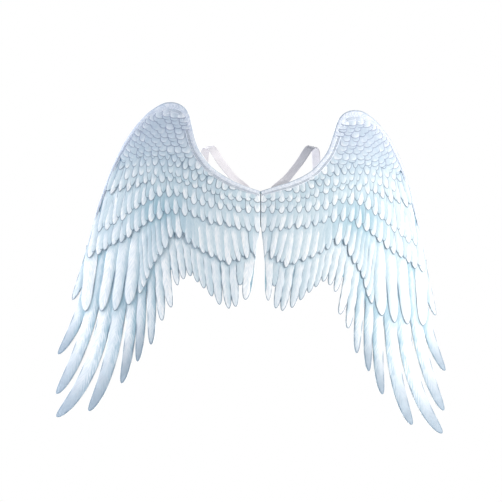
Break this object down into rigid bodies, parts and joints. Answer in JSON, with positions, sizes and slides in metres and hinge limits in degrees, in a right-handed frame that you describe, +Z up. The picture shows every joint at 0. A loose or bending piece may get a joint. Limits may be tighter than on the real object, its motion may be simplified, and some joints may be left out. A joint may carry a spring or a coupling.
{
  "type": "costume wings",
  "caption": "Pair of white feather-print costume wings of fabric over thin foam, joined at a short centre seam, with elastic shoulder loops.",
  "frame": {"origin": "middle of the back pad, on the face that rests against the wearer", "axes": "+Y towards the wearer, +X to the right seen from behind the wearer, +Z up"},
  "size_m": [1.037, 0.1872, 0.8778],
  "materials": {
    "printed_face": "matte",
    "thin_foam": "matte",
    "plain_lining": "matte",
    "spring_steel": "satin",
    "sewing_tape": "matte",
    "dipped_plastic": "gloss",
    "elastic_webbing": "matte",
    "pad_felt": "matte"
  },
  "bodies": {
    "harness": {"back_pad": "pad_felt", "seam_tape": "sewing_tape", "shoulder_strap_left": "elastic_webbing", "strap_patch_upper_left": "sewing_tape", "strap_patch_lower_left": "sewing_tape", "shoulder_strap_right": "elastic_webbing", "strap_patch_upper_right": "sewing_tape", "strap_patch_lower_right": "sewing_tape"},
    "left_wing": {"face_inner_left": "printed_face", "foam_inner_left": "thin_foam", "lining_inner_left": "plain_lining", "edge_wire_left": "spring_steel", "wire_casing_left": "sewing_tape", "wire_tip_root_left": "dipped_plastic", "wire_tip_arch_left": "dipped_plastic"},
    "left_wing_tip": {"face_tip_left": "printed_face", "foam_tip_left": "thin_foam", "lining_tip_left": "plain_lining"},
    "right_wing": {"face_inner_right": "printed_face", "foam_inner_right": "thin_foam", "lining_inner_right": "plain_lining", "edge_wire_right": "spring_steel", "wire_casing_right": "sewing_tape", "wire_tip_root_right": "dipped_plastic", "wire_tip_arch_right": "dipped_plastic"},
    "right_wing_tip": {"face_tip_right": "printed_face", "foam_tip_right": "thin_foam", "lining_tip_right": "plain_lining"}
  },
  "joints": [
    {"name": "left_fold", "type": "hinge", "parent": "harness", "child": "left_wing", "pos_m": [-0.0009, -0.0111, 0.0135], "axis": [0, 0, 1], "range_deg": [0, 85]},
    {"name": "right_fold", "type": "hinge", "parent": "harness", "child": "right_wing", "pos_m": [0.0009, -0.0111, 0.0135], "axis": [0, 0, -1], "range_deg": [0, 85]},
    {"name": "left_tip_bend", "type": "hinge", "parent": "left_wing", "child": "left_wing_tip", "pos_m": [-0.25714, 0.012, 0.0415], "axis": [0.14, -0.0262, -0.9898], "range_deg": [-20, 45], "stiffness_Nm_per_rad": 0.12},
    {"name": "right_tip_bend", "type": "hinge", "parent": "right_wing", "child": "right_wing_tip", "pos_m": [0.25315, 0.01986, 0.01989], "axis": [0.2176, 0.0541, 0.9745], "range_deg": [-20, 45], "stiffness_Nm_per_rad": 0.12}
  ]
}
